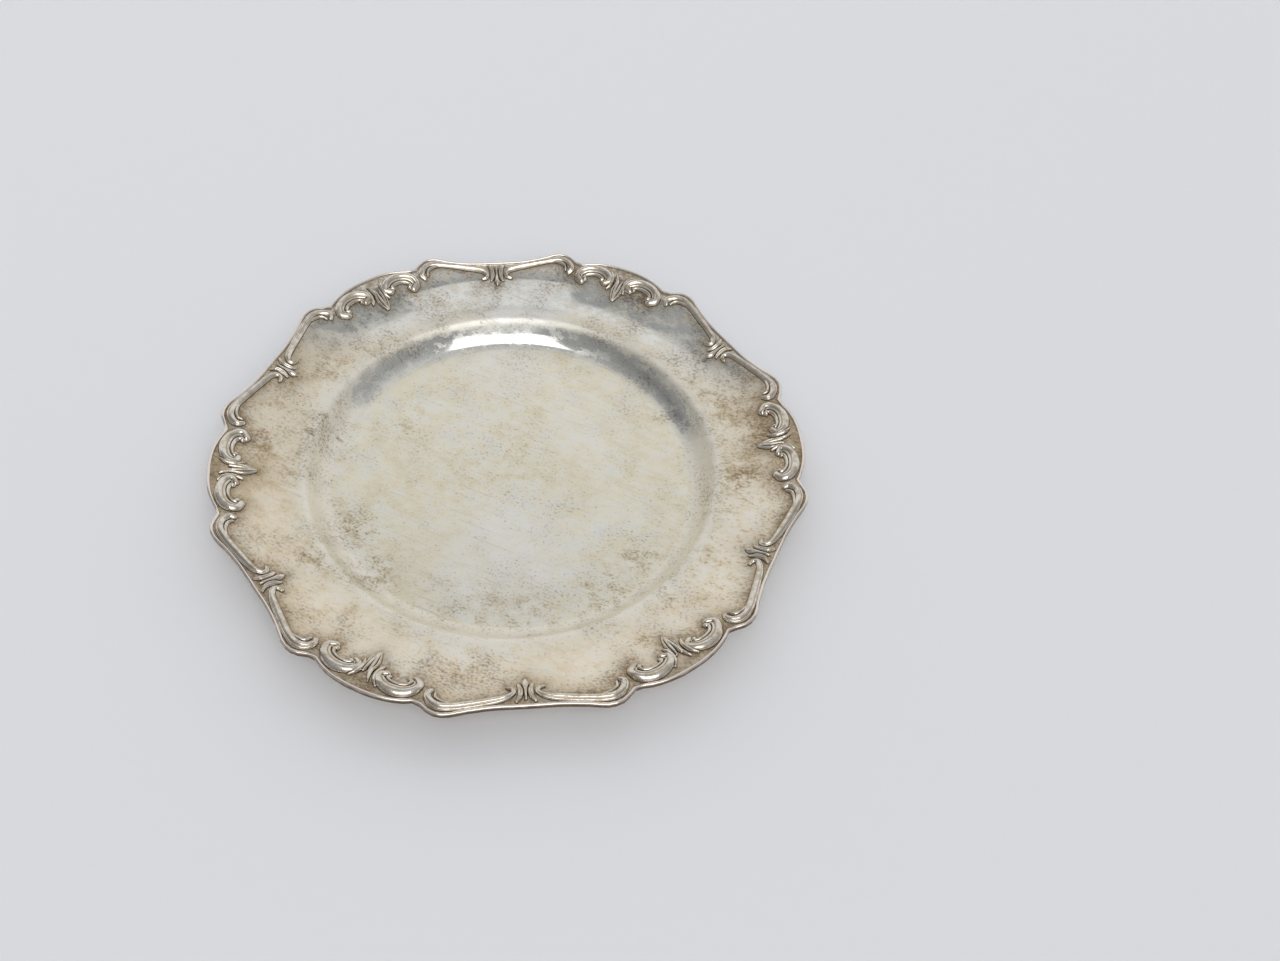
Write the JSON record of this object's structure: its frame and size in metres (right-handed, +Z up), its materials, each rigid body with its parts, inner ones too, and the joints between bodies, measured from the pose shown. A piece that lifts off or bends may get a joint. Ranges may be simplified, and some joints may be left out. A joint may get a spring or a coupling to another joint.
{
  "type": "tray",
  "caption": "Round shallow silver tray with a flat floor, a curved wall, a wide lobed rim and an applied border of cast scrolls, leaves, small palmettes and half-round bars.",
  "frame": {"origin": "middle of the tray in plan, on the flat surface that it stands on", "axes": "+Z up through the middle of the floor; the first cartouche of the border faces -Y and the others follow counterclockwise seen from above, so +X runs between the second and third cartouches"},
  "size_m": [0.2269, 0.2336, 0.0175],
  "materials": {
    "sheet_silver": "sterling silver sheet, old and unpolished, satin, with a warm tarnish and fine scratches",
    "cast_silver": "cast sterling silver, bright on the crests and dark in the recesses",
    "wire_silver": "drawn sterling silver wire, rubbed bright by handling"
  },
  "bodies": {
    "root": {"tray_sheet": "sheet_silver", "edge_wire": "wire_silver", "cartouche_1": "cast_silver", "cartouche_2": "cast_silver", "cartouche_3": "cast_silver", "cartouche_4": "cast_silver", "cartouche_5": "cast_silver", "cartouche_6": "cast_silver", "palmette_1": "cast_silver", "palmette_2": "cast_silver", "palmette_3": "cast_silver", "palmette_4": "cast_silver", "palmette_5": "cast_silver", "palmette_6": "cast_silver", "left_bar_1": "cast_silver", "left_bar_2": "cast_silver", "left_bar_3": "cast_silver", "left_bar_4": "cast_silver", "left_bar_5": "cast_silver", "left_bar_6": "cast_silver", "right_bar_1": "cast_silver", "right_bar_2": "cast_silver", "right_bar_3": "cast_silver", "right_bar_4": "cast_silver", "right_bar_5": "cast_silver", "right_bar_6": "cast_silver"}
  },
  "joints": []
}
